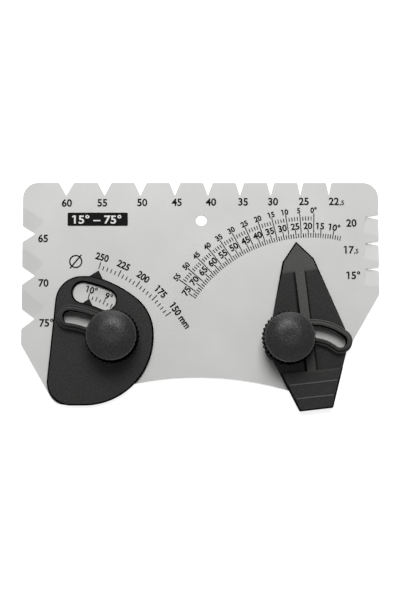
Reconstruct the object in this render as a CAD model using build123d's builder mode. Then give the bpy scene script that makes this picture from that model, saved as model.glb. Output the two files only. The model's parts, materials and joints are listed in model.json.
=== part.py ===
from build123d import *

# Blade angle gauge: a notched steel plate that carries a wheel diameter dial and an angle pointer.
# Each moulded part turns on its own stub in a plate hole, and a knurled knob clamps it through an arc slot.
# Frame: origin at the hanging hole on the plate's back face, +X along the plate, +Y towards the
# notched top edge, +Z out of the printed face. Bearings are in degrees, clockwise from +Y.
import os
from math import cos, radians, sin, tan

os.makedirs("parts", exist_ok=True)

# Plate
plate_t = 1.2
plate_left = -71.75
plate_right = 71.15
plate_top = 15.28
top_corner_r = 6.2
left_slant_y = -49.95
right_slant_y = -29.75
slant_angle = 60.0
slant_corner_r = 1.2
lower_arc_r = 128.0
lower_arc_x = -1.3
lower_arc_top = -63.1
foot_drop = 17.0
left_foot_r = 6.6
right_foot_r = 5.0
hang_hole_r = 2.2

# Notches: included angle in degrees, and the place of the apex along its edge
notch_depth = 5.2
notch_mouth_r = 0.5
top_notches = {
    60: -54.3,
    55: -38.9,
    50: -24.5,
    45: -10.65,
    40: 2.65,
    35: 15.5,
    30: 27.9,
    25: 39.8,
    22.5: 51.3,
}
left_notches = {65: -5.5, 70: -22.4, 75: -39.75}
right_notches = {20: 1.45, 17.5: -9.25, 15: -19.65}

# Pressed lead-in beside one flank of each side notch
ramp_width = 6.4
ramp_depth = 0.6
ramp_reach = 16.0

# Pivots, arc slots and clamp studs
dial_pivot = (-54.85, -67.6)
pointer_pivot = (43.9, -62.5)
pivot_r = 2.5
pivot_clearance = 0.05
pivot_setback = 0.1
dial_slot_r = 28.5
dial_stud_bearing = 44.2
dial_slot_back = 38.9
dial_slot_ahead = 1.9
pointer_slot_r = 17.5
pointer_stud_bearing = -33.1
pointer_slot_half_angle = 45.3
stud_r = 2.5
stud_head_r = 3.9
stud_head_t = 0.8
stud_length = 13.7
stud_tip_chamfer = 0.5
press_gap = 0.02

# What both moulded parts share
mould_t = 2.8
mould_edge = 0.6
land_t = 0.3
land_r = 4.8
slot_clearance = 0.12
step_w = 1.1
step_rise = 1.2
step_edge = 0.25
rim_w = 1.15
rim_rise = 2.7
rim_edge = 0.3

# Wheel diameter dial, about its pivot
dial_r = 46.4
dial_foot_r = 6.6
dial_heel_r = 9.4
dial_flank_bearing = 5.4
dial_crown_r = 10.5
dial_top_inset = 1.45
dial_side_inset = 10.5
dial_lobe_r = 27.4
dial_side_flat = 1.2
dial_blend_r = 3.0
dial_nib_bearing = 16.4
dial_nib_reach = 2.8
dial_nib_half = 3.4
dial_rim_w = 3.15
window_half = 4.1
window_left_bearing = 11.35
window_right_bearing = 25.35
window_nib_bearing = 15.9
window_nib_reach = 2.25
window_nib_half = 1.9
nib_t = 2.4
nib_root = 1.0

# Angle pointer, about its pivot with the tip along its own +Y
pointer_bearing = -6.56
tip_y = 53.9
shoulder_x = 6.25
shoulder_y = 46.4
waist_x = 16.5
waist_y = 12.9
heel_x = 6.6
heel_y = -13.4
pointer_corner_r = 0.8
panel_depth = 1.6
panel_low = 2.0
panel_high = 43.1
rib_half = 1.8
ridge_y = -2.7
ridge_pitch = 5.6
ridge_inset = 1.2
ridge_w = 0.5
ridge_h = 0.25

# Washer, knob and threaded insert
washer_r = 5.0
washer_t = 1.0
washer_clearance = 0.15
knob_foot_r = 10.85
knob_cap_r = 9.75
knob_cap = 1.0
knob_lift = 0.5
knob_skirt = 7.3
knob_dome = 2.4
knob_button_r = 2.5
knob_edge_r = 0.7
knurl_count = 36
knurl_depth = 0.65
knob_wall = 1.6
knob_roof = 2.4
hub_r = 5.4
hub_web_t = 1.0
hub_web_count = 6
insert_r = 3.5
insert_length = 6.0
bore_clearance = 0.05
stud_headroom = 0.6

# Printed marks, each a thin layer of ink on the plate's face
ink_t = 0.05
tick_w = 0.3
angle_low = 7
angle_high = 75
angle_zero_bearing = 19.0
angle_ring_gap = 1.65
angle_minor = 1.75
angle_major = 3.3
offset_high = 55
offset_zero_bearing = 1.15
offset_tick_gap = 6.95
offset_minor = 1.55
offset_line_gap = 1.9
offset_line = 7.9
diameter_ring_gap = 0.65
diameter_minor = 1.6
diameter_major = 2.8
diameter_first_bearing = 16.1
diameter_step_bearing = 1.915
diameter_steps = 20
window_ring_inset = 2.0
window_minor = 1.3
window_half_tick = 1.8
window_major = 2.2
window_first_bearing = 15.1
window_step_bearing = 2.44
window_steps = 14
major_every = 5
window_major_every = 4
symbol_place = (-50.25, -16.7)
symbol_r = 2.4
symbol_line = 0.55
symbol_slash = 7.2
symbol_slash_bearing = 39.5
bar_place = (-41.6, 0.4)
bar_size = (24.2, 5.4)
bar_corner_r = 0.5

# Radii of the dial and of the scales, worked out from the sizes above
dial_top = dial_r - dial_top_inset
dial_side = dial_r - dial_side_inset
dial_shoulder_y = (dial_r**2 - dial_side**2) ** 0.5
side_end = dial_lobe_r - dial_foot_r + dial_side_flat
dial_shoulder_r = (dial_shoulder_y**2 - side_end**2) / (2 * dial_side_inset)
dial_nib_r = dial_r + dial_nib_reach
window_r = dial_r - dial_rim_w - window_half
window_ring_r = window_r - window_ring_inset
diameter_ring_r = dial_nib_r + diameter_ring_gap
angle_ring_r = tip_y + angle_ring_gap
offset_line_r = angle_ring_r + offset_line_gap
offset_tick_r = angle_ring_r + offset_tick_gap

# Heights worked out from the sizes above
mould_z = plate_t + land_t
rim_z = mould_z + mould_t + rim_rise
washer_top = rim_z + washer_t
knob_z = washer_top + knob_lift
knob_top = knob_z + knob_skirt + knob_dome
slot_half = stud_r + slot_clearance
rim_half = slot_half + rim_w
step_half = rim_half + step_w


def polar(radius, bearing):
    """The point at this radius and bearing."""
    return (radius * sin(radians(bearing)), radius * cos(radians(bearing)))


def shifted(place, step):
    """The place moved by the step."""
    return (place[0] + step[0], place[1] + step[1])


def face_plane(place, z, bearing=0.0):
    """A plane at the place whose Y axis points along the bearing."""
    turn = radians(bearing)
    return Plane(origin=(place[0], place[1], z), x_dir=(cos(turn), -sin(turn), 0), z_dir=(0, 0, 1))


dial_stud = shifted(dial_pivot, polar(dial_slot_r, dial_stud_bearing))
pointer_stud = shifted(pointer_pivot, polar(pointer_slot_r, pointer_stud_bearing))
dial_flank = polar(dial_foot_r, dial_flank_bearing - 90)
dial_slot = (dial_slot_r, dial_stud_bearing - dial_slot_back, dial_stud_bearing + dial_slot_ahead)
pointer_slot = (pointer_slot_r, -pointer_slot_half_angle, pointer_slot_half_angle)

# Each slot's low outer step and then its high inner rim, as half width, rise and chamfer
slot_rims = ((step_half, step_rise, step_edge), (rim_half, rim_rise, rim_edge))

# Each notch as its angle, apex and the bearing that its mouth opens to
notches = [(angle, (x, plate_top - notch_depth), 0) for angle, x in top_notches.items()]
notches += [(angle, (plate_left + notch_depth, y), -90) for angle, y in left_notches.items()]
notches += [(angle, (plate_right - notch_depth, y), 90) for angle, y in right_notches.items()]


def arc_band(slot, half, mode=Mode.ADD):
    """A band along the slot's arc about the sketch's origin, round at both ends."""
    radius, first, last = slot
    with BuildLine(mode=Mode.PRIVATE) as spine:
        ThreePointArc(polar(radius, first), polar(radius, (first + last) / 2), polar(radius, last))
    SlotArc(arc=spine.edge(), height=2 * half, mode=mode)


def ticks(bearings, inner_r, length):
    """Radial marks about the sketch's origin."""
    places = [Location((*polar(inner_r + length / 2, b), 0), (0, 0, -b)) for b in bearings]
    with Locations(*places):
        Rectangle(tick_w, length)


def save(piece, name):
    """Label the piece and write it under the same name."""
    piece.part.label = name
    export_step(piece.part, f"parts/{name}.step")


# The plate: a slanted-sided blank over a wheel arc, with notches, holes and pressed lead-ins
with BuildPart() as gauge_plate:
    with BuildSketch() as blank:
        foot_y = lower_arc_top - foot_drop
        left_run = (left_slant_y - foot_y) / tan(radians(slant_angle))
        right_run = (right_slant_y - foot_y) / tan(radians(slant_angle))
        with BuildLine():
            Polyline(
                (plate_left, plate_top),
                (plate_right, plate_top),
                (plate_right, right_slant_y),
                (plate_right - right_run, foot_y),
                (plate_left + left_run, foot_y),
                (plate_left, left_slant_y),
                close=True,
            )
        make_face()
        with Locations((lower_arc_x, lower_arc_top - lower_arc_r)):
            Circle(lower_arc_r, mode=Mode.SUBTRACT)
        fillet(blank.vertices().group_by(Axis.Y)[-1], top_corner_r)
        fillet(blank.vertices().sort_by(Axis.Y)[0], left_foot_r)
        right_side = blank.vertices().filter_by(lambda v: v.X > 0)
        fillet(right_side.sort_by(Axis.Y)[0], right_foot_r)
        for edge_x, edge_y in ((plate_left, left_slant_y), (plate_right, right_slant_y)):
            fillet(blank.vertices().sort_by_distance((edge_x, edge_y, 0))[0], slant_corner_r)
        for angle, apex, opening in notches:
            left_mouth, right_mouth = [
                shifted(apex, polar(2 * notch_depth, opening + side * angle / 2)) for side in (-1, 1)
            ]
            with BuildLine():
                Polyline(apex, left_mouth, right_mouth, close=True)
            make_face(mode=Mode.SUBTRACT)
        for angle, apex, opening in notches:
            for side in (-1, 1):
                reach = notch_depth / cos(radians(angle / 2))
                mouth = shifted(apex, polar(reach, opening + side * angle / 2))
                fillet(blank.vertices().sort_by_distance((*mouth, 0))[0], notch_mouth_r)
        Circle(hang_hole_r, mode=Mode.SUBTRACT)
        with Locations(dial_pivot, pointer_pivot):
            Circle(pivot_r + pivot_clearance, mode=Mode.SUBTRACT)
        with Locations(dial_stud, pointer_stud):
            Circle(stud_r + press_gap, mode=Mode.SUBTRACT)
    extrude(amount=plate_t)
    with BuildSketch():
        with Locations(dial_stud, pointer_stud):
            Circle(stud_head_r + press_gap)
    extrude(amount=stud_head_t, mode=Mode.SUBTRACT)
    for angle, apex, opening in notches[len(top_notches):]:
        along = polar(1.0, opening + angle / 2)
        across = (along[1], -along[0])
        ramp_plane = Plane(
            origin=(*apex, plate_t), x_dir=(*across, 0), z_dir=(-along[0], -along[1], 0)
        )
        with BuildSketch(ramp_plane):
            with BuildLine():
                Polyline((0, 1), (0, -ramp_depth), (ramp_width, 0), (ramp_width, 1), close=True)
            make_face()
        extrude(amount=-ramp_reach, mode=Mode.SUBTRACT)
save(gauge_plate, "gauge_plate")

# The dial: an offset leaf with a reading window, a nib on its rim and a rimmed arc slot
with BuildPart() as diameter_dial:
    with BuildSketch(face_plane(dial_pivot, mould_z)) as leaf:
        flank_slope = tan(radians(dial_flank_bearing))
        heel, crown = [
            (dial_flank[0] + (y - dial_flank[1]) * flank_slope, y) for y in (-dial_foot_r, dial_top)
        ]
        with BuildLine():
            Polyline(heel, crown, (dial_side, dial_top), (dial_side, -dial_foot_r), close=True)
        make_face()
        fillet(leaf.vertices().sort_by_distance((dial_side, -dial_foot_r, 0))[0], dial_lobe_r)
        fillet(leaf.vertices().sort_by_distance((*heel, 0))[0], dial_heel_r)
        fillet(leaf.vertices().sort_by_distance((*crown, 0))[0], dial_crown_r)
        Circle(dial_r, mode=Mode.INTERSECT)
        shoulder = (dial_side, dial_shoulder_y, 0)
        fillet(leaf.vertices().sort_by_distance(shoulder)[0], dial_shoulder_r)
        rim_end = leaf.vertices().filter_by(lambda v: abs(v.Y - dial_top) < 0.01).sort_by(Axis.X)[-1]
        fillet(rim_end, dial_blend_r)
        arc_band((window_r, window_left_bearing, window_right_bearing), window_half, Mode.SUBTRACT)
    extrude(amount=mould_t)
    chamfer(diameter_dial.faces().sort_by(Axis.Z)[-1].edges(), mould_edge)
    with BuildSketch(face_plane(dial_pivot, mould_z, dial_nib_bearing)):
        root = dial_r - nib_root
        with BuildLine():
            Polyline((-dial_nib_half, root), (0, dial_nib_r), (dial_nib_half, root), close=True)
        make_face()
    extrude(amount=nib_t)
    with BuildSketch(face_plane(dial_pivot, mould_z, window_nib_bearing)):
        root = window_r - window_half
        with BuildLine():
            Polyline(
                (-window_nib_half, root - nib_root),
                (-window_nib_half, root),
                (0, root + window_nib_reach),
                (window_nib_half, root),
                (window_nib_half, root - nib_root),
                close=True,
            )
        make_face()
    extrude(amount=nib_t)
    for half, rise, edge in slot_rims:
        with BuildSketch(face_plane(dial_pivot, mould_z)):
            arc_band(dial_slot, half)
        extrude(amount=mould_t + rise)
        chamfer(diameter_dial.faces().sort_by(Axis.Z)[-1].edges(), edge)
    with BuildSketch(face_plane(dial_pivot, plate_t)):
        Circle(land_r)
        arc_band(dial_slot, step_half)
    extrude(amount=land_t)
    with BuildSketch(face_plane(dial_pivot, plate_t)):
        arc_band(dial_slot, slot_half)
    extrude(amount=rim_z - plate_t, mode=Mode.SUBTRACT)
    with BuildSketch(face_plane(dial_pivot, pivot_setback)):
        Circle(pivot_r)
    extrude(amount=mould_z - pivot_setback)
save(diameter_dial, "diameter_dial")

# The pointer: a kite-shaped leaf whose two panels slope down from the tip, with a rib between them
# and a rimmed arc slot
with BuildPart() as angle_pointer:
    with BuildSketch(face_plane(pointer_pivot, mould_z, pointer_bearing)) as leaf:
        with BuildLine():
            Polyline(
                (0, tip_y),
                (shoulder_x, shoulder_y),
                (waist_x, waist_y),
                (heel_x, heel_y),
                (0, heel_y),
            )
            mirror(about=Plane.YZ)
        make_face()
        blunt = leaf.vertices().sort_by(Axis.Y)[:-1]
        fillet(blunt, pointer_corner_r)
    extrude(amount=mould_t)
    chamfer(angle_pointer.faces().sort_by(Axis.Z)[-1].edges(), mould_edge)
    for side in (-1, 1):
        root = shifted(pointer_pivot, polar(side * rib_half, pointer_bearing + 90))
        across = polar(side, pointer_bearing + 90)
        panel_plane = Plane(
            origin=(*root, mould_z + mould_t),
            x_dir=(*polar(1, pointer_bearing), 0),
            z_dir=(*across, 0),
        )
        with BuildSketch(panel_plane):
            with BuildLine():
                fall = -side * panel_depth
                Polyline((panel_low, 0), (panel_high, 0), (panel_low, fall), close=True)
            make_face()
        extrude(amount=waist_x, mode=Mode.SUBTRACT)
    with BuildSketch(face_plane(pointer_pivot, mould_z + mould_t, pointer_bearing)):
        flare = (waist_x - heel_x) / (waist_y - heel_y)
        for y in (ridge_y, ridge_y - ridge_pitch):
            half = heel_x + flare * (y - heel_y) - ridge_inset
            with Locations((0, y)):
                Rectangle(2 * half, ridge_w)
    extrude(amount=ridge_h)
    for half, rise, edge in slot_rims:
        with BuildSketch(face_plane(pointer_pivot, mould_z, pointer_bearing)):
            arc_band(pointer_slot, half)
        extrude(amount=mould_t + rise)
        chamfer(angle_pointer.faces().sort_by(Axis.Z)[-1].edges(), edge)
    with BuildSketch(face_plane(pointer_pivot, plate_t, pointer_bearing)):
        Circle(land_r)
        arc_band(pointer_slot, step_half)
    extrude(amount=land_t)
    with BuildSketch(face_plane(pointer_pivot, plate_t, pointer_bearing)):
        arc_band(pointer_slot, slot_half)
    extrude(amount=rim_z - plate_t, mode=Mode.SUBTRACT)
    with BuildSketch(face_plane(pointer_pivot, pivot_setback)):
        Circle(pivot_r)
    extrude(amount=mould_z - pivot_setback)
save(angle_pointer, "angle_pointer")

# One clamp on each side: a stud pressed into the plate, a washer, and a knob with its insert
for side, centre in (("left", dial_stud), ("right", pointer_stud)):
    with BuildPart() as clamp_stud:
        with BuildSketch(face_plane(centre, 0)):
            Circle(stud_head_r)
        extrude(amount=stud_head_t)
        with BuildSketch(face_plane(centre, stud_head_t)):
            Circle(stud_r)
        extrude(amount=stud_length)
        chamfer(clamp_stud.faces().sort_by(Axis.Z)[-1].edges(), stud_tip_chamfer)
    save(clamp_stud, f"{side}_clamp_stud")

    with BuildPart() as washer:
        with BuildSketch(face_plane(centre, rim_z)):
            Circle(washer_r)
            Circle(stud_r + washer_clearance, mode=Mode.SUBTRACT)
        extrude(amount=washer_t)
    save(washer, f"{side}_washer")

    with BuildPart() as insert:
        with BuildSketch(face_plane(centre, washer_top)):
            Circle(insert_r)
            Circle(stud_r + bore_clearance, mode=Mode.SUBTRACT)
        extrude(amount=insert_length)
    save(insert, f"{side}_knob_insert")

    with BuildPart() as knob:
        edge_z = knob_z + knob_skirt
        cap_z = edge_z - knob_cap
        flare = knob_cap_r / knob_foot_r
        for z, share in ((knob_z, 1.0), (cap_z, flare)):
            with BuildSketch(face_plane(centre, z)):
                radii = [knob_foot_r - knurl_depth * (i % 2) for i in range(2 * knurl_count)]
                crests = [polar(share * r, 180 * i / knurl_count) for i, r in enumerate(radii)]
                with BuildLine():
                    Polyline(*crests, close=True)
                make_face()
        loft(ruled=True)
        with BuildSketch(Plane(origin=(*centre, 0), x_dir=(1, 0, 0), z_dir=(0, -1, 0))) as section:
            with BuildLine():
                floor = Line((0, cap_z), (knob_cap_r, cap_z))
                wall = Line(floor @ 1, (knob_cap_r, edge_z))
                button = Line((0, knob_top), (knob_button_r, knob_top))
                TangentArc(button @ 1, wall @ 1, tangent=(1, 0))
                Line(button @ 0, floor @ 0)
            make_face()
            fillet(section.vertices().sort_by_distance((knob_cap_r, edge_z, 0))[0], knob_edge_r)
        revolve(axis=Axis((*centre, 0), (0, 0, 1)))
        with BuildSketch(face_plane(centre, knob_z)):
            Circle(knob_cap_r - knurl_depth - knob_wall)
            Circle(hub_r, mode=Mode.SUBTRACT)
            with PolarLocations(0, hub_web_count):
                Rectangle(2 * knob_foot_r, hub_web_t, mode=Mode.SUBTRACT)
        extrude(amount=knob_skirt - knob_roof, mode=Mode.SUBTRACT)
        with BuildSketch(face_plane(centre, washer_top)):
            Circle(hub_r)
        extrude(amount=knob_skirt)
        with BuildSketch(face_plane(centre, washer_top)):
            Circle(insert_r + press_gap)
        extrude(amount=insert_length, mode=Mode.SUBTRACT)
        with BuildSketch(face_plane(centre, washer_top)):
            Circle(stud_r + washer_clearance)
        stud_top = stud_head_t + stud_length
        extrude(amount=stud_top + stud_headroom - washer_top, mode=Mode.SUBTRACT)
    save(knob, f"{side}_knob")

# Printed marks
with BuildPart() as angle_scale_marks:
    with BuildSketch(face_plane(pointer_pivot, plate_t)):
        values = range(angle_low, angle_high + 1)
        majors = [angle_zero_bearing - v for v in values if v % major_every == 0]
        minors = [angle_zero_bearing - v for v in values if v % major_every]
        ticks(majors, angle_ring_r, angle_major)
        ticks(minors, angle_ring_r, angle_minor)
    extrude(amount=ink_t)
save(angle_scale_marks, "angle_scale_marks")

with BuildPart() as offset_scale_marks:
    with BuildSketch(face_plane(pointer_pivot, plate_t)):
        values = range(offset_high + 1)
        majors = [offset_zero_bearing - v for v in values if v % major_every == 0]
        minors = [offset_zero_bearing - v for v in values if v % major_every]
        ticks(majors, offset_line_r, offset_line)
        ticks(minors, offset_tick_r, offset_minor)
    extrude(amount=ink_t)
save(offset_scale_marks, "offset_scale_marks")

with BuildPart() as diameter_scale_marks:
    with BuildSketch(face_plane(dial_pivot, plate_t)):
        steps = range(diameter_steps + 1)
        bearings = {n: diameter_first_bearing + n * diameter_step_bearing for n in steps}
        majors = [bearings[n] for n in steps if n % major_every == 0]
        minors = [bearings[n] for n in steps if n % major_every]
        ticks(majors, diameter_ring_r, diameter_major)
        ticks(minors, diameter_ring_r, diameter_minor)
    extrude(amount=ink_t)
save(diameter_scale_marks, "diameter_scale_marks")

with BuildPart() as window_scale_marks:
    with BuildSketch(face_plane(dial_pivot, plate_t)):
        steps = range(window_steps + 1)
        bearings = {n: window_first_bearing + n * window_step_bearing for n in steps}
        majors = [bearings[n] for n in steps if n % window_major_every == 0]
        halves = [bearings[n] for n in steps if n % window_major_every == window_major_every / 2]
        minors = [bearings[n] for n in steps if n % 2]
        ticks(majors, window_ring_r, window_major)
        ticks(halves, window_ring_r, window_half_tick)
        ticks(minors, window_ring_r, window_minor)
    extrude(amount=ink_t)
save(window_scale_marks, "window_scale_marks")

with BuildPart() as diameter_symbol:
    with BuildSketch(face_plane(symbol_place, plate_t, symbol_slash_bearing)):
        Circle(symbol_r + symbol_line / 2)
        Circle(symbol_r - symbol_line / 2, mode=Mode.SUBTRACT)
        Rectangle(symbol_line, symbol_slash)
    extrude(amount=ink_t)
save(diameter_symbol, "diameter_symbol")

with BuildPart() as title_bar:
    with BuildSketch(face_plane(bar_place, plate_t)):
        RectangleRounded(*bar_size, bar_corner_r)
    extrude(amount=ink_t)
save(title_bar, "title_bar")
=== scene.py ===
import json
from math import cos, radians, sin

import bmesh
import bpy
from mathutils import Matrix, Vector


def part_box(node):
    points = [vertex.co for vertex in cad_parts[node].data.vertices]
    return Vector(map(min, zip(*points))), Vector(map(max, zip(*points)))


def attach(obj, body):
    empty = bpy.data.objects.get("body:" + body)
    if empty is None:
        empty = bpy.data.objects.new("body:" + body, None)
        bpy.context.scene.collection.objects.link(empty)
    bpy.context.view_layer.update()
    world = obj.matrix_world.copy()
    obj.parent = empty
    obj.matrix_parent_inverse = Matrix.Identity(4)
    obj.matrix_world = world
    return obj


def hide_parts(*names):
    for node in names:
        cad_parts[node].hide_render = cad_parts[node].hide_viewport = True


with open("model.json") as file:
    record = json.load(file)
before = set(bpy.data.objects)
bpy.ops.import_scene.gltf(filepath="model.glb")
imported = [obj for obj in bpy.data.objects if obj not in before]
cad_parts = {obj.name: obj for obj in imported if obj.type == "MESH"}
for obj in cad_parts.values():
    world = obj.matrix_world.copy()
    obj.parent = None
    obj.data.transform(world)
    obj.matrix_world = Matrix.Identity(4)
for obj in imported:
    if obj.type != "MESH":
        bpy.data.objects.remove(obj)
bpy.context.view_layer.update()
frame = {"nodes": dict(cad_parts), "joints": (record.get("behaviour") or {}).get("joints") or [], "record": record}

MM = 0.001

# The photograph's frame and the camera that it was taken from
PHOTO_SIZE = (401, 601)
FOCAL_PX = 1300.0
SENSOR_MM = 36.0
CAMERA_PLACE = (-0.3, -82.8, 517.5)
CAMERA_TARGET = (-0.32, -32.24, 0.0)

# The plate's printed face and the pivots, in millimetres
plate_low, plate_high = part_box("gauge_plate")
FACE_Z = plate_high.z / MM
INK_THICK = 0.06
PIVOTS = {joint["name"]: Vector(joint["pos_m"][:2]) / MM for joint in frame["joints"]}
DIAL_PIVOT = PIVOTS["dial_turn"]
POINTER_PIVOT = PIVOTS["pointer_turn"]

# Numerals beside the notches: centre and text, and their height
NOTCH_NUMERAL_H = 3.1
TOP_NUMERAL_Y = 7.52
TOP_NUMERAL_CLIMB = 0.0071
TOP_NUMERALS = {
    "60": -54.05,
    "55": -39.8,
    "50": -23.75,
    "45": -9.9,
    "40": 3.85,
    "35": 16.8,
    "30": 28.85,
    "25": 41.2,
}
SIDE_NUMERALS = {
    "65": (-63.45, -7.25),
    "70": (-63.05, -25.2),
    "75°": (-62.55, -41.2),
    "20": (60.25, -0.95),
    "15°": (60.25, -22.1),
}
SPLIT_NUMERALS = {("22", ",5"): (54.2, 7.8), ("17", ",5"): (60.3, -11.8)}
SPLIT_SMALL_SHARE = 0.62

# Scale numerals: bearings are clockwise from +Y about the scale's pivot
ANGLE_ZERO_BEARING = 19.2
ANGLE_NUMERAL_R = 60.4
ANGLE_NUMERAL_H = 2.7
ANGLE_CREEP_BELOW = 32
ANGLE_CREEP = 0.025
OFFSET_ZERO_BEARING = 1.4
OFFSET_NUMERAL_R = 66.7
OFFSET_NUMERAL_H = 2.24
OFFSET_CREEP_BELOW = 14
OFFSET_CREEP = 0.06
DIAMETER_NUMERAL_R = 54.9
DIAMETER_NUMERAL_H = 2.85
DIAMETER_NUMERALS = {"250": 16.1, "225": 25.7, "200": 35.3, "175": 45.2, "150": 54.7}
WINDOW_NUMERAL_R = 41.0
WINDOW_NUMERAL_H = 2.8
WINDOW_FIRST_BEARING = 15.1
WINDOW_STEP_BEARING = 9.9

# The height above which the slot rims stand, the pointer's top face, and the way that its tip points
RIM_LOW_Z = 4.7
POINTER_FACE_Z = 4.3
POINTER_BEARING = radians(-6.56)
POINTER_AXIS = Vector((sin(POINTER_BEARING), cos(POINTER_BEARING)))
POINTER_CROSS = Vector((cos(POINTER_BEARING), -sin(POINTER_BEARING)))

# The rib on the pointer, and how far the painted shade in the corners at its foot reaches on each side
RIB_HALF = 1.8
LEFT_CORNER_REACH = 1.3
RIGHT_CORNER_REACH = 0.9

# A knob's flutes: the radius of its crests at its foot, their height there, and how they taper with height
KNOB_CREST_R = 10.85
KNOB_FOOT_Z = 8.5
KNOB_TAPER = 0.1746
FLUTE_DEPTH = 0.65

# Colours of the black nylon: its flats, its raised faces (partly a painted highlight), the painted highlight on rim
# chamfers and ridges, and the painted shade in corners, on walls and in flutes
LEAF_NYLON = (3300.0, ((0.0065, 0.0065, 0.0065, 1), (0.024, 0.024, 0.023, 1)), (0.38, 0.7), 0.6)
KNOB_NYLON = (2500.0, ((0.0005, 0.0005, 0.0005, 1), (0.019, 0.019, 0.0185, 1)), (0.42, 0.6), 0.95)
# Raised faces of the pointer: partly their coarser finish, partly a painted highlight
RAISED_DARK = (0.045, 0.045, 0.043, 1)
RAISED_LIGHT = (0.13, 0.129, 0.125, 1)
# Painted highlight: the colour put on rim chamfers and ridges where light catches them
PAINTED_HIGHLIGHT = (0.12, 0.12, 0.116, 1)
# Painted shade: the colour put where shade falls in corners, on walls and in flutes
PAINTED_SHADE = (0.002, 0.002, 0.002, 1)
WHITE = (1.0, 1.0, 1.0, 1)
# A dim specular tint where shade is painted, which takes the reflection away there
SHADE_SHEEN_TINT = (0.15, 0.15, 0.15, 1)

# The glow that lifts the floor to white where the camera sees it, near the object and far from it
NEAR_GLOW = 0.87
FAR_GLOW = 1.0
WALLS = (0.03, 1.0)

# How much heavier the printed strokes are than the default typeface, as a share of its type size
NOTCH_STROKE = 0.025
ANGLE_STROKE = 0.030
OFFSET_STROKE = 0.036
DIAMETER_STROKE = 0.032
WINDOW_STROKE = 0.026
TITLE_STROKE = 0.022
MARK_NODES = ("angle_scale_marks", "offset_scale_marks", "diameter_scale_marks", "window_scale_marks")
MARK_SPREAD = 0.03
LEAF_SHELL = (3.0, 4.4)
LEAF_THINNED = 1.5
# The flag of a 1, left and down from the top of its stem, as shares of the type size
ONE_FLAG_W = 0.02
ONE_FLAG = ((0.15, 0.12), (0.15, 0.21), (0.0, 0.17))


class Channel:
    """A socket whose values are worked out with plain arithmetic; each step adds its Math node."""

    def __init__(self, finish, socket):
        self.finish = finish
        self.socket = socket

    def step(self, operation, *values):
        node = self.finish.node("ShaderNodeMath", {"operation": operation}, dict(enumerate(values)))
        return Channel(self.finish, node.outputs[0])

    def __add__(self, other):
        return self.step("ADD", self, other)

    def __radd__(self, other):
        return self.step("ADD", other, self)

    def __sub__(self, other):
        return self.step("SUBTRACT", self, other)

    def __rsub__(self, other):
        return self.step("SUBTRACT", other, self)

    def __mul__(self, other):
        return self.step("MULTIPLY", self, other)

    def __rmul__(self, other):
        return self.step("MULTIPLY", other, self)

    def __or__(self, other):
        return self.step("MAXIMUM", self, other)

    def __ror__(self, other):
        return self.step("MAXIMUM", other, self)


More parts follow.
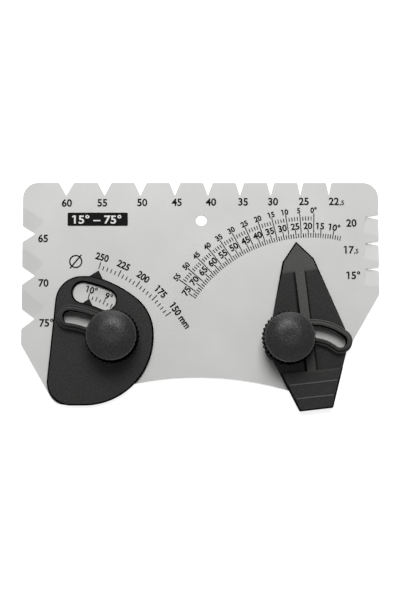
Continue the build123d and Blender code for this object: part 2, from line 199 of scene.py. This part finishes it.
class Finish:
    """The nodes of one material, or of the world."""

    def __init__(self, name, owners=bpy.data.materials):
        self.material = owners.new(name)
        self.material.use_nodes = True
        self.tree = self.material.node_tree
        self.tree.nodes.clear()

    def node(self, kind, settings=None, values=None):
        """A node of this kind with its settings made first and then its sockets filled."""
        made = self.tree.nodes.new(kind)
        for name, value in (settings or {}).items():
            setattr(made, name, value)
        for key, value in (values or {}).items():
            if isinstance(value, Channel):
                self.tree.links.new(value.socket, made.inputs[key])
            else:
                made.inputs[key].default_value = value
        return made

    def out(self, made, output=0):
        return Channel(self, made.outputs[output])

    def place(self):
        """The point on the piece in its own metres."""
        return self.out(self.node("ShaderNodeTexCoord"), "Object")

    def noise(self, scale, detail=2.0, roughness=0.5, vector=None):
        """A smooth random field between 0 and 1, with its grain set in cells a metre."""
        values = {"Vector": vector or self.place(), "Scale": scale, "Detail": detail, "Roughness": roughness}
        return self.out(self.node("ShaderNodeTexNoise", {}, values), 0)

    def stretched(self, factors):
        """The point on the piece with each axis scaled."""
        return self.out(self.node("ShaderNodeVectorMath", {"operation": "MULTIPLY"}, {0: self.place(), 1: factors}))

    def remap(self, value, low, high, to_low, to_high):
        """The value carried from one range to another and kept within it."""
        settings = {"clamp": True}
        values = {"Value": value, "From Min": low, "From Max": high, "To Min": to_low, "To Max": to_high}
        return self.out(self.node("ShaderNodeMapRange", settings, values))

    def blend(self, amount, first, second):
        """A colour between the two by the amount."""
        made = self.node("ShaderNodeMix", {"data_type": "RGBA"}, {0: amount})
        for socket, colour in ((made.inputs[6], first), (made.inputs[7], second)):
            if isinstance(colour, Channel):
                self.tree.links.new(colour.socket, socket)
            else:
                socket.default_value = colour
        return Channel(self, made.outputs[2])

    def worn_edge(self, width):
        """A mask that is 1 on the sharp outer edges and 0 on the flats."""
        bevel = self.node("ShaderNodeBevel", {"samples": 6}, {"Radius": width})
        normal = self.out(self.node("ShaderNodeNewGeometry"), "Normal")
        return self.remap(self.dot(self.out(bevel), normal), 0.995, 0.8, 0.0, 1.0)

    def dot(self, first, second):
        """The dot product of a vector socket and a fixed vector."""
        made = self.node("ShaderNodeVectorMath", {"operation": "DOT_PRODUCT"}, {0: first, 1: second})
        return self.out(made, "Value")

    def eased_slopes(self, share):
        """The normal, with shallow pressed slopes brought towards the flat face by this share."""
        normal = self.out(self.node("ShaderNodeNewGeometry"), "Normal")
        shallow = self.remap(self.dot(normal, (0.0, 0.0, 1.0)), 0.95, 0.97, 0.0, share)
        mixed = self.node("ShaderNodeMix", {"data_type": "VECTOR"}, {0: shallow, 4: normal, 5: (0.0, 0.0, 1.0)})
        return self.out(self.node("ShaderNodeVectorMath", {"operation": "NORMALIZE"}, {0: self.out(mixed, 1)}))

    def bump(self, height, distance, strength=1.0, normal=None):
        """A normal that the height field tilts."""
        values = {"Height": height, "Distance": distance, "Strength": strength}
        if normal:
            values["Normal"] = normal
        return self.out(self.node("ShaderNodeBump", {}, values))

    def looked_at(self):
        """A mask that is 1 where the camera, a reflection or something clear looks at the background."""
        path = self.node("ShaderNodeLightPath")
        camera, glossy, clear = (self.out(path, f"Is {ray} Ray") for ray in ("Camera", "Glossy", "Transmission"))
        return camera | glossy | clear

    def surface(self, values):
        """Close the material with a Principled surface."""
        shader = self.node("ShaderNodeBsdfPrincipled", {}, values)
        self.node("ShaderNodeOutputMaterial", {}, {"Surface": Channel(self, shader.outputs[0])})
        return self.material


def grey(level, alpha=1.0):
    return (level, level, level, alpha)


def satin_plate_steel():
    """Bead-blasted stainless sheet: pale grey with a fine grain, faint rolling streaks and bright cut edges."""
    f = Finish("satin_plate_steel")
    grain = f.noise(5200.0, 3.0, 0.6)
    streaks = f.noise(1.0, 4.0, 0.6, f.stretched((60.0, 2600.0, 60.0)))
    clouds = f.noise(38.0, 3.0, 0.55)
    tone = f.remap(clouds, 0.3, 0.7, 0.0, 1.0)
    flat = f.blend(tone, (0.66, 0.66, 0.65, 1), (0.71, 0.71, 0.70, 1))
    fine = f.blend(f.remap(grain, 0.25, 0.75, 0.0, 0.35), flat, (0.57, 0.57, 0.56, 1))
    colour = f.blend(f.remap(streaks, 0.55, 0.75, 0.0, 0.18), fine, (0.77, 0.77, 0.76, 1))
    colour = f.blend(f.worn_edge(0.00018) * 0.3, colour, (0.85, 0.85, 0.85, 1))
    roughness = 0.52 + 0.14 * grain - 0.06 * tone
    height = grain * 0.7 + streaks * 0.5
    return f.surface({
        "Base Color": colour,
        "Metallic": 0.08,
        "Roughness": roughness,
        "Specular IOR Level": 0.15,
        "Normal": f.bump(height, 0.00002, 0.5, f.eased_slopes(0.15)),
    })


class Nylon(Finish):
    """Glass-filled nylon from a spark-eroded mould: near black and pitted."""

    def __init__(self, name, grain_scale, tones, speckles, speckle_share):
        super().__init__(name)
        values = {"Vector": self.place(), "Scale": grain_scale, "Smoothness": 0.6}
        pits = self.out(self.node("ShaderNodeTexVoronoi", {"feature": "SMOOTH_F1"}, values), "Distance")
        self.grain = self.noise(grain_scale * 0.8, 3.0, 0.65)
        self.speckle = self.remap(self.noise(grain_scale * 0.45, 2.0, 0.6), *speckles, 0.0, 1.0)
        self.clouds = self.noise(70.0, 4.0, 0.6)
        self.height = pits * 0.6 + self.grain * 0.6 + self.speckle * 0.5
        self.dull = 0.0
        patches = self.speckle * speckle_share + 0.25 * self.clouds + 0.25 * self.grain
        self.colour = self.blend(patches, *tones)

    def above(self, low, high):
        """A mask that rises from 0 to 1 between two heights in millimetres."""
        return self.remap(self.dot(self.place(), (0.0, 0.0, 1 / MM)), low, high, 0.0, 1.0)

    def facing_up(self):
        """How far the face looks up: 1 on flats, 0.7 on chamfers and 0 on walls."""
        return self.dot(self.out(self.node("ShaderNodeNewGeometry"), "Normal"), (0.0, 0.0, 1.0))

    def rub(self, mask):
        """Lighten what the mask covers with a painted highlight."""
        self.colour = self.blend(mask, self.colour, PAINTED_HIGHLIGHT)

    def darken(self, mask):
        """Paint shade where the mask covers: a near-black colour with no sheen."""
        self.colour = self.blend(mask, self.colour, PAINTED_SHADE)
        self.dull = mask + self.dull

    def finish(self, gloss, bump=0.00009, specular=0.19):
        sheen = gloss + 0.12 * self.remap(self.clouds, 0.3, 0.7, 0.0, 1.0) - 0.10 * self.speckle
        return self.surface({
            "Base Color": self.colour,
            # Where shade is painted, metallic on a near-black colour and a dim specular tint take the reflection
            # away as well
            "Metallic": self.remap(self.dull, 0.0, 1.0, 0.0, 1.0),
            "Roughness": sheen,
            "Specular IOR Level": specular,
            "Specular Tint": self.blend(self.remap(self.dull, 0.0, 1.0, 0.0, 1.0), WHITE, SHADE_SHEEN_TINT),
            "Normal": self.bump(self.height, bump, 0.8),
        })


def leaf_edges(f, rim_share):
    """Painted shade on the walls and chamfers round a leaf and on the upright walls of its slot rims, and a painted
    highlight on the chamfers of the rims.
    """
    on_rim = f.above(RIM_LOW_Z - 0.1, RIM_LOW_Z)
    up = f.facing_up()
    # Painted shade on walls and chamfers that do not face up, below the rims
    f.darken(f.remap(up, 0.9, 0.75, 0.0, 0.95) * (1.0 - on_rim))
    # Painted shade on the upright walls of the rims
    f.darken(f.remap(up, 0.35, 0.15, 0.0, 1.0) * on_rim)
    # Painted highlight on the sloping chamfers of the rims, by the given share
    f.rub(f.remap(up, 0.55, 0.65, 0.0, rim_share) * f.remap(up, 0.8, 0.9, 1.0, 0.0) * on_rim)


def dial_nylon():
    f = Nylon("dial_nylon", *LEAF_NYLON)
    leaf_edges(f, 0.3)
    # Painted shade on a band 2.2 to 2.55 mm high on the thinned dial, which holds the tops of its nibs
    f.darken(f.above(2.2, 2.35) * (1.0 - f.above(2.45, 2.55)) * 0.45)
    return f.finish(0.50)


def pointer_nylon():
    """The dial's nylon, with a paler tip block and rib, partly a coarser finish and partly a painted highlight that
    grows towards the tip, a painted highlight on the heel's ridges, and painted shade in the corners along the rib.
    """
    f = Nylon("pointer_nylon", *LEAF_NYLON)
    along = f.dot(f.place(), (*POINTER_AXIS / MM, 0.0)) - POINTER_AXIS.dot(POINTER_PIVOT)
    across = f.dot(f.place(), (*POINTER_CROSS / MM, 0.0)) - POINTER_CROSS.dot(POINTER_PIVOT)
    ahead = f.remap(along, 1.0, 2.0, 0.0, 1.0)
    face = f.above(POINTER_FACE_Z - 0.07, POINTER_FACE_Z - 0.03)
    rims = f.above(POINTER_FACE_Z + 0.3, POINTER_FACE_Z + 0.5)
    # Raised faces paler: partly their coarser finish, partly a painted highlight that grows towards the tip
    spine = ahead * face * f.remap(along, 2.0, 30.0, 0.4, 1.0) * (1.0 - 0.6 * rims)
    f.colour = f.blend(spine * 0.8, f.colour, f.blend(f.grain, RAISED_DARK, RAISED_LIGHT))
    # Painted shade in the corners at the foot of the rib, fainter towards the tip
    left = f.remap(across, -RIB_HALF - LEFT_CORNER_REACH, -RIB_HALF - 0.5, 0.0, 1.0)
    right = f.remap(across, RIB_HALF + 0.3, RIB_HALF + RIGHT_CORNER_REACH, 1.0, 0.0)
    deep = f.remap(along, 15.0, 43.0, 1.0, 0.65)
    f.darken(left * right * ahead * (1.0 - face) * deep)
    # Painted highlight on the ridges of the heel
    f.rub(f.remap(along, 1.0, 2.0, 0.8, 0.0) * f.above(POINTER_FACE_Z + 0.1, POINTER_FACE_Z + 0.2))
    leaf_edges(f, 0.6)
    return f.finish(0.50)


def knob_nylon(name, centre):
    """The same nylon on a knob, with painted shade on the sides of its skirt, darkest in the flutes, and a painted
    highlight on the crests at the rim of its cap.
    """
    f = Nylon(name, *KNOB_NYLON)
    offset = f.node("ShaderNodeVectorMath", {"operation": "SUBTRACT"}, {0: f.place(), 1: (*centre, 0.0)})
    flat = f.node("ShaderNodeVectorMath", {"operation": "MULTIPLY"}, {0: f.out(offset), 1: (1 / MM, 1 / MM, 0.0)})
    radius = f.out(f.node("ShaderNodeVectorMath", {"operation": "LENGTH"}, {0: f.out(flat)}), "Value")
    height = f.dot(f.place(), (0.0, 0.0, 1 / MM))
    depth = KNOB_CREST_R - (radius + (height - KNOB_FOOT_Z) * KNOB_TAPER)
    # Painted shade on the sides of the skirt, darkest in the flutes
    skirt = f.remap(f.facing_up(), 0.9, 0.75, 0.0, 1.0) * (1.0 - f.above(15.0, 15.4))
    f.darken(skirt * f.remap(depth, 0.1, FLUTE_DEPTH - 0.15, 0.85, 1.0))
    # Painted highlight on the crests at the rim of the cap, in the colour given below
    rim = f.above(14.0, 14.6) * f.remap(f.facing_up(), 0.9, 0.75, 0.0, 1.0)
    f.colour = f.blend(rim * f.remap(depth, 0.1, 0.3, 1.0, 0.0), f.colour, (0.05, 0.05, 0.048, 1))
    return f.finish(0.31, 0.00006, 0.245)


def turned_metal(name, base, dark, roughness):
    """Metal with fine turning lines and a little tarnish."""
    f = Finish(name)
    lines = f.noise(1.0, 3.0, 0.6, f.stretched((400.0, 400.0, 9000.0)))
    tarnish = f.noise(300.0, 4.0, 0.6)
    colour = f.blend(f.remap(tarnish, 0.35, 0.75, 0.0, 0.6), base, dark)
    return f.surface({
        "Base Color": colour,
        "Metallic": 1.0,
        "Roughness": roughness + 0.18 * tarnish,
        "Normal": f.bump(lines, 0.00001, 0.5),
    })


def printing_ink(name, body, worn):
    """Screen-printed ink with a slightly uneven cover."""
    f = Finish(name)
    cover = f.noise(4200.0, 3.0, 0.6)
    patches = f.noise(600.0, 2.0, 0.5)
    colour = f.blend(f.remap(cover * 0.6 + patches * 0.4, 0.52, 0.72, 0.0, 0.5), body, worn)
    return f.surface({
        "Base Color": colour,
        "Roughness": 0.5 + 0.2 * cover,
        "Specular IOR Level": 0.05,
        "Normal": f.bump(cover, 0.00001, 0.4),
    })


def studio_floor():
    """A pale sweep that shows white where it is looked at and still takes the object's shadow."""
    f = Finish("studio_floor")
    paper = f.blend(f.noise(9.0, 2.0, 0.5), grey(0.80), grey(0.82))
    matte = f.out(f.node("ShaderNodeBsdfDiffuse", {}, {"Color": paper}))
    span = f.out(f.node("ShaderNodeVectorMath", {"operation": "LENGTH"}, {0: f.place()}), "Value")
    shine = f.blend(f.remap(span, 0.2, 1.0, 0.0, 1.0), grey(NEAR_GLOW), grey(FAR_GLOW))
    glow = f.out(f.node("ShaderNodeEmission", {}, {"Color": shine, "Strength": 1.0}))
    lifted = f.out(f.node("ShaderNodeAddShader", {}, {0: matte, 1: glow}))
    shader = f.out(f.node("ShaderNodeMixShader", {}, {0: f.looked_at(), 1: matte, 2: lifted}))
    f.node("ShaderNodeOutputMaterial", {}, {"Surface": shader})
    return f.material


def studio_walls():
    """Dim walls that show white where they are looked at."""
    f = Finish("studio_walls", bpy.data.worlds)
    dim, white = (f.out(f.node("ShaderNodeBackground", {}, {"Color": grey(1.0), "Strength": s})) for s in WALLS)
    shader = f.out(f.node("ShaderNodeMixShader", {}, {0: f.looked_at(), 1: dim, 2: white}))
    f.node("ShaderNodeOutputWorld", {}, {"Surface": shader})
    return f.material


PLATE = satin_plate_steel()
DIAL_NYLON = dial_nylon()
POINTER_NYLON = pointer_nylon()
STEEL = turned_metal("turned_steel", (0.62, 0.62, 0.63, 1), (0.42, 0.42, 0.43, 1), 0.28)
BRASS = turned_metal("turned_brass", (0.78, 0.60, 0.27, 1), (0.45, 0.31, 0.12, 1), 0.3)
INK = printing_ink("black_printing_ink", (0.005, 0.005, 0.005, 1), (0.02, 0.02, 0.02, 1))
PALE_INK = printing_ink("pale_printing_ink", (0.88, 0.88, 0.87, 1), (0.75, 0.75, 0.74, 1))

SLOT_FINISHES = {
    "plate_steel": PLATE,
    "stud_steel": STEEL,
    "washer_steel": STEEL,
    "insert_brass": BRASS,
    "dial_plastic": DIAL_NYLON,
    "pointer_plastic": POINTER_NYLON,
    "black_ink": INK,
}


def dress_cad_nodes():
    """Give each CAD node the finish of its material slot."""
    for row in frame["record"]["subparts"]:
        node = frame["nodes"][row["node"]]
        if row["material_slot"] == "knob_plastic":
            low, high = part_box(row["node"])
            finish = knob_nylon(row["node"] + "_nylon", ((low + high) / 2)[:2])
        else:
            finish = SLOT_FINISHES[row["material_slot"]]
        node.data.materials.clear()
        node.data.materials.append(finish)


def embolden_the_marks():
    """Let the ink of the scale marks spread a little."""
    for name in MARK_NODES:
        node = frame["nodes"][name]
        node.modifiers.new("one_outline", "WELD").merge_threshold = 0.000001
        spread = node.modifiers.new("spread", "DISPLACE")
        spread.mid_level = 0.0
        spread.strength = MARK_SPREAD * 3**0.5 * MM


def thin_the_dial_leaf():
    """The dial with its flat leaf as thin as the shadow in its window shows."""
    node = frame["nodes"]["diameter_dial"]
    mesh = node.data.copy()
    for vertex in mesh.vertices:
        if LEAF_SHELL[0] < vertex.co.z / MM < LEAF_SHELL[1]:
            vertex.co.z -= LEAF_THINNED * MM
    mesh.name = "dial_moulding"
    piece = bpy.data.objects.new("dial_moulding", mesh)
    bpy.context.scene.collection.objects.link(piece)
    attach(piece, "dial")
    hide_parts("diameter_dial")


def polar(pivot, radius, bearing):
    """The point at this radius and clockwise bearing from +Y about the pivot, in millimetres."""
    return Vector((pivot.x + radius * sin(radians(bearing)), pivot.y + radius * cos(radians(bearing))))


def written(text, stroke=TITLE_STROKE):
    """The outline of a text, one unit to its type size, as a filled mesh."""
    curve = bpy.data.curves.new("lettering", "FONT")
    curve.body = text
    curve.align_x = "LEFT"
    curve.resolution_u = 4
    curve.offset = stroke
    holder = bpy.data.objects.new("lettering", curve)
    bpy.context.scene.collection.objects.link(holder)
    bpy.context.view_layer.update()
    mesh = bpy.data.meshes.new_from_object(holder.evaluated_get(bpy.context.evaluated_depsgraph_get()))
    bpy.data.objects.remove(holder)
    return mesh


def digit_height():
    """The height of a digit, one unit to its type size."""
    mesh = written("8")
    ys = [v.co.y for v in mesh.vertices]
    return max(ys) - min(ys)


DIGIT_H = digit_height()


class Print:
    """Many texts gathered into one printed piece."""

    def __init__(self, name, stroke, slot="black_ink", finish=INK, z=FACE_Z):
        self.name = name
        self.slot = slot
        self.finish = finish
        self.stroke = stroke
        self.z = z
        self.bm = bmesh.new()

    def put(self, text, place, height, bearing=0.0, centred_on=None, width_share=1.0):
        """Set a text with its digits centred on the place and upright along the bearing."""
        mesh = written(text, self.stroke)
        scale = height / DIGIT_H
        reference = written(centred_on, self.stroke) if centred_on else mesh
        xs = [v.co.x for v in reference.vertices]
        middle = (min(xs) + max(xs)) / 2
        centre = Matrix.Translation((-middle, -DIGIT_H / 2, 0))
        sized = Matrix.Diagonal((scale * width_share * MM, scale * MM, MM, 1))
        turned = Matrix.Rotation(-radians(bearing), 4, "Z")
        moved = Matrix.Translation((place[0] * MM, place[1] * MM, self.z * MM))
        placed = moved @ turned @ sized @ centre
        mesh.transform(placed)
        self.bm.from_mesh(mesh)
        if text.startswith("1"):
            left, top = min(xs), DIGIT_H
            flag = [(left + ONE_FLAG_W, top), (left, top), *[(left - x, top - y) for x, y in ONE_FLAG]]
            self.bm.faces.new([self.bm.verts.new(placed @ Vector((x, y, 0.0))) for x, y in flag])

    def done(self):
        """Give the outlines their ink thickness and make the piece."""
        self.bm.verts.index_update()
        low = [vert.co.copy() for vert in self.bm.verts]
        high = [point + Vector((0, 0, INK_THICK * MM)) for point in low]
        flats = [[vert.index for vert in face.verts] for face in self.bm.faces]
        rims = [edge.link_loops[0] for edge in self.bm.edges if edge.is_boundary]
        walls = [(loop.vert.index, loop.link_loop_next.vert.index) for loop in rims]
        rise = len(low)
        faces = [face[::-1] for face in flats]
        faces += [[index + rise for index in face] for face in flats]
        faces += [(start, end, end + rise, start + rise) for start, end in walls]
        mesh = bpy.data.meshes.new(self.name)
        mesh.from_pydata(low + high, [], faces)
        self.bm.free()
        mesh.materials.append(self.finish)
        piece = bpy.data.objects.new(self.name, mesh)
        bpy.context.scene.collection.objects.link(piece)
        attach(piece, "plate")
        return piece


def print_notch_numerals():
    sheet = Print("notch_numerals", NOTCH_STROKE)
    for text, x in TOP_NUMERALS.items():
        sheet.put(text, (x, TOP_NUMERAL_Y + TOP_NUMERAL_CLIMB * x), NOTCH_NUMERAL_H)
    for text, place in SIDE_NUMERALS.items():
        sheet.put(text, place, NOTCH_NUMERAL_H, centred_on=text[:2])
    for (whole, part), (x, y) in SPLIT_NUMERALS.items():
        small = NOTCH_NUMERAL_H * SPLIT_SMALL_SHARE
        sheet.put(whole, (x - 0.9, y), NOTCH_NUMERAL_H)
        sheet.put(part, (x + (2.3 if whole == "22" else 1.75), y - (NOTCH_NUMERAL_H - small) / 2), small)
    sheet.done()


def print_scale_numerals():
    angle = Print("angle_scale_numerals", ANGLE_STROKE)
    for value in range(10, 80, 5):
        text = f"{value}°" if value == 10 else str(value)
        bearing = ANGLE_ZERO_BEARING - value - ANGLE_CREEP * max(0, ANGLE_CREEP_BELOW - value)
        place = polar(POINTER_PIVOT, ANGLE_NUMERAL_R, bearing)
        angle.put(text, place, ANGLE_NUMERAL_H, bearing, centred_on=str(value), width_share=0.99)
    angle.done()
    offset = Print("offset_scale_numerals", OFFSET_STROKE)
    for value in range(0, 60, 5):
        text = f"{value}°" if value == 0 else str(value)
        bearing = OFFSET_ZERO_BEARING - value - OFFSET_CREEP * max(0, OFFSET_CREEP_BELOW - value)
        place = polar(POINTER_PIVOT, OFFSET_NUMERAL_R, bearing)
        offset.put(text, place, OFFSET_NUMERAL_H, bearing, centred_on=str(value), width_share=0.96)
    offset.done()
    diameter = Print("diameter_scale_numerals", DIAMETER_STROKE)
    for value, bearing in DIAMETER_NUMERALS.items():
        place = polar(DIAL_PIVOT, DIAMETER_NUMERAL_R, bearing)
        text = f"{value} mm" if value == "150" else value
        diameter.put(text, place, DIAMETER_NUMERAL_H, bearing, centred_on=value, width_share=0.93)
    diameter.done()
    window = Print("window_scale_numerals", WINDOW_STROKE)
    for step, value in enumerate((10, 9, 8, 7)):
        bearing = WINDOW_FIRST_BEARING + step * WINDOW_STEP_BEARING
        place = polar(DIAL_PIVOT, WINDOW_NUMERAL_R, bearing)
        window.put(f"{value}°", place, WINDOW_NUMERAL_H, bearing, centred_on=str(value), width_share=0.93)
    window.done()


def print_title():
    low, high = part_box("title_bar")
    middle = (low + high) / 2 / MM
    title = Print("title_numerals", TITLE_STROKE, slot="plate_steel", finish=PALE_INK, z=high.z / MM)
    title.put("15° – 75°", (middle.x, middle.y), 3.4, width_share=1.15)
    title.done()


def soft_lamp(name, place, target, size, watts):
    """A soft box that faces its target."""
    lamp = bpy.data.lights.new(name, "AREA")
    lamp.shape = "RECTANGLE"
    lamp.size, lamp.size_y = size
    lamp.energy = watts
    holder = bpy.data.objects.new(name, lamp)
    holder.location = place
    holder.rotation_mode = "QUATERNION"
    holder.rotation_quaternion = (Vector(target) - Vector(place)).to_track_quat("-Z", "Y")
    bpy.context.scene.collection.objects.link(holder)


def light_the_studio():
    centre = (0.0, -0.03, 0.0)
    soft_lamp("key_softbox", (0.0, 0.36, 0.70), centre, (0.36, 0.34), 4.45)
    soft_lamp("back_strip", (0.0, 0.8, 0.36), centre, (0.9, 0.3), 3.6)
    soft_lamp("front_fill", (0.1, -0.95, 0.55), centre, (0.8, 0.4), 0.5)
    bpy.context.scene.world = studio_walls()


def lay_the_floor():
    mesh = bpy.data.meshes.new("studio_floor")
    reach, drop = 12.0, -0.0001
    corners = [(-reach, -reach, drop), (reach, -reach, drop), (reach, reach, drop), (-reach, reach, drop)]
    mesh.from_pydata(corners, [], [(0, 1, 2, 3)])
    mesh.materials.append(studio_floor())
    floor = bpy.data.objects.new("studio_floor", mesh)
    bpy.context.scene.collection.objects.link(floor)


def set_the_camera():
    data = bpy.data.cameras.new("camera")
    data.sensor_width = SENSOR_MM
    data.lens = FOCAL_PX * SENSOR_MM / max(PHOTO_SIZE)
    data.clip_start, data.clip_end = 0.01, 20.0
    camera = bpy.data.objects.new("camera", data)
    place, target = Vector(CAMERA_PLACE) * MM, Vector(CAMERA_TARGET) * MM
    camera.location = place
    camera.rotation_mode = "QUATERNION"
    camera.rotation_quaternion = (target - place).to_track_quat("-Z", "Y")
    bpy.context.scene.collection.objects.link(camera)
    bpy.context.scene.camera = camera


set_the_camera()
dress_cad_nodes()
thin_the_dial_leaf()
embolden_the_marks()
print_notch_numerals()
print_scale_numerals()
print_title()
light_the_studio()
lay_the_floor()
bpy.context.scene.view_settings.view_transform = "Standard"
